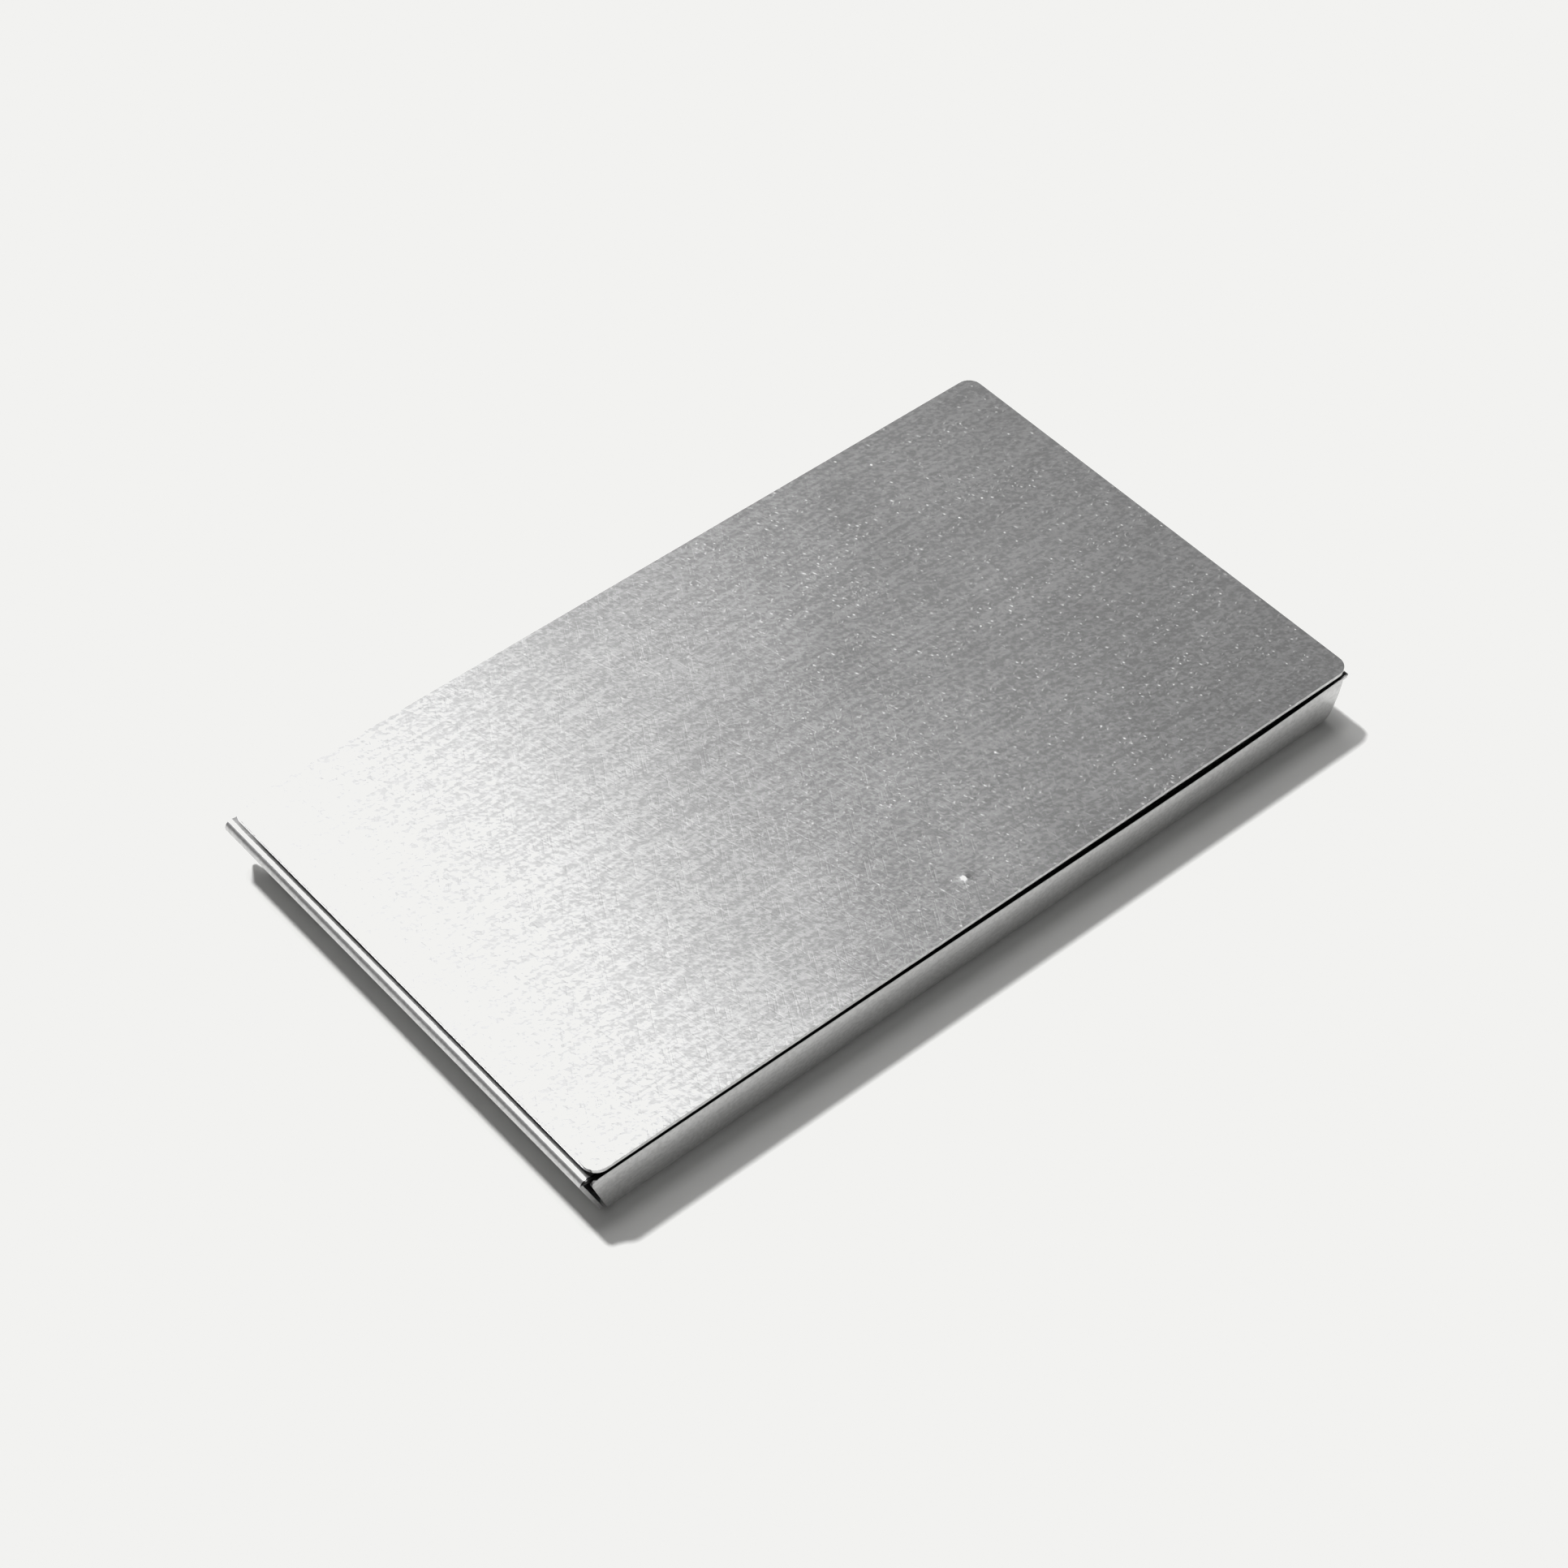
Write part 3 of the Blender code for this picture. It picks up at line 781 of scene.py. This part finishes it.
@dataclass
class Lid:
    """The flat plate with rounded corners and the raised weld mark."""

    sizes: CaseSizes
    corner: float = 1.5 * MM
    weld_side: float = 0.3 * MM
    weld_setback: float = 4.3 * MM
    core_height: float = 0.065 * MM
    core_radius: float = 0.30 * MM
    foot_height: float = 0.02 * MM
    foot_radius: float = 1.0 * MM
    corner_points: int = 9
    corner_blend: float = 4.0
    along: int = 120
    across: int = 70
    mark_half: float = 2.4 * MM
    mark_gap: float = 0.4 * MM
    mark_points: int = 41

    def lines(self, low: float, high: float, mark: float, count: int) -> np.ndarray:
        """Stations over the plate, fine round the corners and round the weld mark."""
        corner = self.corner * (1 - np.cos(np.linspace(0, np.pi / 2, self.corner_points)))
        near = mark + np.linspace(-self.mark_half, self.mark_half, self.mark_points)
        wide = np.linspace(low + self.corner, high - self.corner, count)
        wide = wide[np.abs(wide - mark) > self.mark_half + self.mark_gap]
        return np.unique(np.concatenate([low + corner, high - corner, near, wide]))

    def build(self) -> bpy.types.Object:
        """Grid the top face.

        Each row is squeezed to the plate's half length there, which falls along a
        quarter circle at the corners. The mark is two bells, a narrow on a wide.
        """
        size = self.sizes
        low, high = size.lid_low, size.lid_high
        mark_x, mark_y = size.lid_middle + self.weld_side, low.y + self.weld_setback
        along = self.lines(low.x, high.x, mark_x, self.along) - size.lid_middle
        up = self.lines(low.y, high.y, mark_y, self.across)
        half_x, half_y = (high.x - low.x) / 2, (high.y - low.y) / 2
        middle_y = (high.y + low.y) / 2
        into = np.maximum(np.abs(up - middle_y) - (half_y - self.corner), 0.0)
        half_row = half_x - self.corner + np.sqrt(np.maximum(self.corner ** 2 - into ** 2, 0.0))
        shrink = (half_x - half_row)[:, None]
        blend = self.corner_blend * self.corner
        near_end = np.clip((np.abs(along) - (half_x - blend)) / blend, 0, 1)
        x = size.lid_middle + along[None, :] - np.sign(along)[None, :] * shrink * near_end[None, :]
        y = np.broadcast_to(up[:, None], x.shape)
        away = np.hypot(x - mark_x, y - mark_y)
        bells = (self.core_height * np.exp(-(away / self.core_radius) ** 2)
                 + self.foot_height * np.exp(-(away / self.foot_radius) ** 2))
        z = size.lid_top + bells
        sheet = SheetPiece("lid_plate", "cover", "lid", "lid_sheet", size.sheet, edge=0.06 * MM)
        return sheet.build([(np.stack([x, y, z], -1), None)], Vector((size.lid_middle, 0.0, 0.0)))


@dataclass
class Hinge:
    """Two strips whose knuckles curl round a wire pin."""

    sizes: CaseSizes
    knuckles: int = 5
    gap: float = 0.4 * MM
    sweep: float = 295.0
    lid_leaf: float = 6.0 * MM
    tray_leaf: float = 4.4 * MM
    plain_edge: float = 0.3 * MM
    knuckle_points: int = 7
    plain_rows: int = 6
    neck_rows: int = 3
    curl_rows: int = 40
    wire_dome: float = 0.25 * MM
    wire_tip: float = 0.55
    wire_sharp: float = 50.0
    wire_sides: int = 32
    wire_rings: int = 24
    dome_rings: int = 7

    @property
    def curl(self) -> float:
        """Outer radius of a knuckle."""
        return self.sizes.tray_high.z - self.sizes.axis.z

    def leaf(self, name: str, body: str, node: str, first: int, profile: np.ndarray,
             plain: int) -> bpy.types.Object:
        """Carry a profile along X, with the rows past the strip only on the knuckles.

        Args:
            name: Name of the piece.
            body: Body that it rides on.
            node: CAD node that it stands for.
            first: Number of its first knuckle.
            profile: Points across the leaf, from the axis.
            plain: Rows that run the whole length.

        Returns:
            The leaf.
        """
        size = self.sizes
        low, high = size.pin_low.x, size.pin_high.x
        pitch = (high - low + self.gap) / self.knuckles
        edges = np.array([[low + k * pitch, low + (k + 1) * pitch - self.gap]
                          for k in range(first, self.knuckles, 2)])
        x = np.unique(np.concatenate([[low, high], edges.ravel(),
                                      *[np.linspace(*edge, self.knuckle_points) for edge in edges]]))
        middle = (x[:-1] + x[1:]) / 2
        on_knuckle = ((middle[:, None] > edges[:, 0]) & (middle[:, None] < edges[:, 1])).any(1)
        keep = np.ones((len(profile) - 1, len(x) - 1), bool)
        keep[plain:, :] = on_knuckle[None, :]
        grid_x, across = np.meshgrid(x, size.axis.y + profile[:, 0])
        _, up = np.meshgrid(x, size.axis.z + profile[:, 1])
        sheet = SheetPiece(name, body, node, "hinge_strip", size.strip)
        return sheet.build([(np.stack([grid_x, across, up], -1), keep)], size.axis, axis_only=True)

    def build(self) -> list[bpy.types.Object]:
        """Make both leaves and the pin."""
        neck = self.curl + self.plain_edge
        curl = [(neck, 0.0, self.neck_rows), arc(self.curl, -self.sweep, self.curl_rows)]
        tray = walk((-self.curl, -self.tray_leaf), 90.0,
                    [(self.tray_leaf - neck, 0.0, self.plain_rows), *curl])
        lid = walk((-self.lid_leaf, self.curl), 0.0,
                   [(self.lid_leaf - neck, 0.0, self.plain_rows), *curl])
        return [self.leaf("tray_leaf_strip", "case", "tray_hinge_leaf", 0, tray, self.plain_rows),
                self.leaf("lid_leaf_strip", "cover", "lid_hinge_leaf", 1, lid, self.plain_rows),
                self.pin()]

    def pin(self) -> bpy.types.Object:
        """The wire: a circle carried along X, with a rounded end at each side.

        Over each end the radius falls along a quarter ellipse to the small flat tip.
        """
        size = self.sizes
        low, high = size.pin_low, size.pin_high
        radius, dome = (high.z - low.z) / 2, self.wire_dome
        turn = np.linspace(0, 2 * np.pi, self.wire_sides + 1)[:-1]
        bend = np.linspace(0, np.pi / 2, self.dome_rings)
        into = dome * (1 - np.sin(bend))
        x = np.concatenate([low.x + into[::-1],
                            np.linspace(low.x + dome, high.x - dome, self.wire_rings),
                            high.x - into])
        round_off = radius * (self.wire_tip + (1 - self.wire_tip) * np.sin(bend))
        rim = np.concatenate([round_off, np.full(self.wire_rings, radius), round_off[::-1]])
        rings = np.stack([np.broadcast_to(x[:, None], (len(x), self.wire_sides)),
                          size.axis.y + rim[:, None] * np.cos(turn)[None, :],
                          size.axis.z + rim[:, None] * np.sin(turn)[None, :]], -1)
        index = np.arange(len(x) * self.wire_sides).reshape(len(x), self.wire_sides)
        after = np.roll(index, -1, axis=1)
        quads = np.stack([index[:-1], after[:-1], after[1:], index[1:]], -1).reshape(-1, 4)
        caps = [index[0].tolist(), index[-1][::-1].tolist()]
        mesh = bpy.data.meshes.new("hinge_wire")
        mesh.from_pydata(rings.reshape(-1, 3).tolist(), [], quads.tolist() + caps)
        wire = bmesh.new()
        wire.from_mesh(mesh)
        bmesh.ops.remove_doubles(wire, verts=wire.verts, dist=1e-8)
        bmesh.ops.recalc_face_normals(wire, faces=wire.faces)
        wire.to_mesh(mesh)
        wire.free()
        mesh.shade_smooth()
        mesh.set_sharp_from_angle(angle=math.radians(self.wire_sharp))
        piece = bpy.data.objects.new("hinge_wire", mesh)
        bpy.context.collection.objects.link(piece)
        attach(piece, "case")
        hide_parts("hinge_pin")
        return piece


@dataclass
class Catch:
    """The spring under the lid's front edge, with a leg that rubs on the front wall."""

    sizes: CaseSizes
    bend: float = 0.6 * MM
    lead_in: float = 10.0
    flat_rows: int = 10
    bend_rows: int = 10
    leg_rows: int = 8
    lead_rows: int = 4
    tip_rows: int = 3
    across: int = 13

    def build(self) -> bpy.types.Object:
        """Carry the profile across the catch's width, flat under the lid and then down."""
        size = self.sizes
        low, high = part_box("catch_spring")
        drop = (high.z - low.z) - 2 * self.bend
        profile = walk((-high.y, high.z), 0.0,
                       [(high.y - low.y - self.bend, 0.0, self.flat_rows),
                        arc(self.bend, -90.0, self.bend_rows), (drop, 0.0, self.leg_rows),
                        arc(self.bend, -self.lead_in, self.lead_rows),
                        (self.bend, 0.0, self.tip_rows)])
        x = np.linspace(low.x, high.x, self.across)
        grid_x, across = np.meshgrid(x, -profile[:, 0])
        _, up = np.meshgrid(x, profile[:, 1])
        sheet = SheetPiece("catch_leaf", "cover", "catch_spring", "spring_steel", size.strip)
        inside = Vector(((low.x + high.x) / 2, high.y, low.z))
        return sheet.build([(np.stack([grid_x, across, up], -1), None)], inside)


# ---------------------------------------------------------------- studio

@dataclass
class Studio:
    """Floor, lights and camera."""

    sizes: CaseSizes
    azimuth: float = -40.24
    elevation: float = 48.29
    distance: float = 344.0 * MM
    aim_x: float = -5.1 * MM
    aim_y: float = -3.6 * MM
    lens: float = 83.4
    sensor: float = 36.0
    near: float = 0.01
    far: float = 60.0
    fill: float = 0.18
    key_strength: float = 2.8
    box_radiance: float = 1.9
    box_height: float = 8.0
    box_edge: float = 0.503
    box_size: tuple[float, float] = (0.5, 1.2)
    box_middle: float = 0.75
    box_turn: float = -10.5
    card_radiance: float = 0.18
    card_middle: float = 1.35
    card_size: tuple[float, float] = (0.9, 1.3)
    top_strength: float = 0.42
    top_angle: float = 13.0
    top_slope: tuple[float, float] = (0.0, 0.13)
    key_angle: float = 5.0
    key_slope: tuple[float, float] = (-0.085, 0.475)
    floor_half: float = 12.0
    floor_gap: float = 0.02 * MM
    white: tuple[float, float, float] = (0.887, 0.887, 0.871)

    def camera(self) -> None:
        """Aim a camera at the lid's top from the azimuth and elevation."""
        azimuth, elevation = math.radians(self.azimuth), math.radians(self.elevation)
        back = Vector((math.sin(azimuth) * math.cos(elevation),
                       -math.cos(azimuth) * math.cos(elevation), math.sin(elevation)))
        target = Vector((self.sizes.lid_middle + self.aim_x, self.aim_y, self.sizes.lid_top))
        data = bpy.data.cameras.new("camera")
        data.lens, data.sensor_width = self.lens, self.sensor
        data.clip_start, data.clip_end = self.near, self.far
        camera = bpy.data.objects.new("camera", data)
        bpy.context.collection.objects.link(camera)
        camera.location = target + back * self.distance
        camera.rotation_euler = back.to_track_quat("Z", "Y").to_euler()
        bpy.context.scene.camera = camera

    def floor(self) -> None:
        """A wide pale sheet under the case."""
        half = self.floor_half
        mesh = bpy.data.meshes.new("floor")
        corners = [(-half, -half), (half, -half), (half, half), (-half, half)]
        mesh.from_pydata([(x, y, -self.floor_gap) for x, y in corners], [], [(0, 1, 2, 3)])
        floor = bpy.data.objects.new("floor", mesh)
        bpy.context.collection.objects.link(floor)
        mesh.materials.append(FloorFinish().material())

    def lights(self) -> None:
        """A faint even dome, a key from behind, a top light, a softbox and a dim card."""
        world = bpy.data.worlds.new("studio")
        bpy.context.scene.world = world
        world.use_nodes = True
        background = world.node_tree.nodes["Background"]
        background.inputs["Color"].default_value = (1.0, 1.0, 1.0, 1.0)
        background.inputs["Strength"].default_value = self.fill
        self.sun("key", self.key_strength, self.key_angle, self.key_slope)
        self.sun("top", self.top_strength, self.top_angle, self.top_slope)
        self.panel("softbox", self.box_radiance, self.box_size, -1.0, self.box_middle)
        self.panel("card", self.card_radiance, self.card_size, 1.0, self.card_middle)

    def sun(self, name: str, strength: float, angle: float, slope: tuple[float, float]) -> None:
        """A far round light seen at a slope of x and y over z.

        Args:
            name: The light's name.
            strength: Its strength.
            angle: Its width in degrees.
            slope: Its direction.
        """
        data = bpy.data.lights.new(name, "SUN")
        data.energy = strength
        data.angle = math.radians(angle)
        light = bpy.data.objects.new(name, data)
        bpy.context.collection.objects.link(light)
        light.rotation_euler = Vector((*slope, 1.0)).to_track_quat("Z", "Y").to_euler()

    def panel(self, name: str, radiance: float, size: tuple[float, float], side: float,
              back: float) -> None:
        """A level panel far overhead that starts at the edge where the lid's shine ends.

        Args:
            name: The light's name.
            radiance: How bright it looks.
            size: Width and depth over the height.
            side: -1 to the left of the edge, 1 to the right.
            back: How far behind the case its middle is, over the height.
        """
        data = bpy.data.lights.new(name, "AREA")
        data.shape = "RECTANGLE"
        data.size, data.size_y = (length * self.box_height for length in size)
        data.energy = radiance * math.pi * data.size * data.size_y
        light = bpy.data.objects.new(name, data)
        bpy.context.collection.objects.link(light)
        turn = math.radians(self.box_turn)
        reach = side * size[0] / 2
        middle = Vector((self.box_edge + reach * math.cos(turn),
                         back + reach * math.sin(turn), 1.0))
        light.location = middle * self.box_height
        light.rotation_euler = (0.0, 0.0, turn)

    def build(self) -> None:
        """Set up the camera, the floor, the lights and the film."""
        self.camera()
        self.floor()
        self.lights()
        self.film()

    def film(self) -> None:
        """A neutral view whose whites stop at the pale tone of the paper."""
        view = bpy.context.scene.view_settings
        view.view_transform = "Standard"
        view.look = "None"
        view.use_curve_mapping = True
        view.curve_mapping.extend = "HORIZONTAL"
        for curve, white in zip(view.curve_mapping.curves, self.white):
            curve.points[1].location = (white, white)
        view.curve_mapping.update()


def main() -> None:
    """Build the case in order, dress it and light it."""
    logging.basicConfig(level=logging.INFO, format="%(name)s: %(message)s")
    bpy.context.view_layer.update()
    sizes = CaseSizes()
    effects = Effects()
    # The tray's finish paints near-black shade on its front wall's top edge, for the slot under the
    # lid.
    sheet = SteelFinish("bright_tray_sheet", colour=(0.645, 0.645, 0.645), roughness=0.36,
                        streak_depth=0.16, scratch_depth=0.03, glint_share=0.0, tone_change=0.16,
                        painted_slot_shade=True)
    cover = SteelFinish("bright_lid_sheet")
    strip = SteelFinish("hinge_strip_steel", colour=(0.58, 0.58, 0.57))
    wire = SteelFinish("drawn_wire", colour=(0.5, 0.5, 0.5), roughness=0.28)
    spring = SteelFinish("spring_strip", colour=(0.42, 0.42, 0.43), roughness=0.3)
    tray = Tray(sizes).build()
    lid = Lid(sizes).build()
    tray_leaf, lid_leaf, pin = Hinge(sizes).build()
    catch = Catch(sizes).build()
    strip_material = strip.material(effects)
    for piece, material in ((tray, sheet.material(effects)), (lid, cover.material(effects)),
                            (tray_leaf, strip_material), (lid_leaf, strip_material),
                            (pin, wire.material(effects)), (catch, spring.material(effects))):
        piece.data.materials.append(material)
        LOG.info("%s wears %s", piece.name, material.name)
    Studio(sizes).build()


if __name__ == "__main__":
    main()
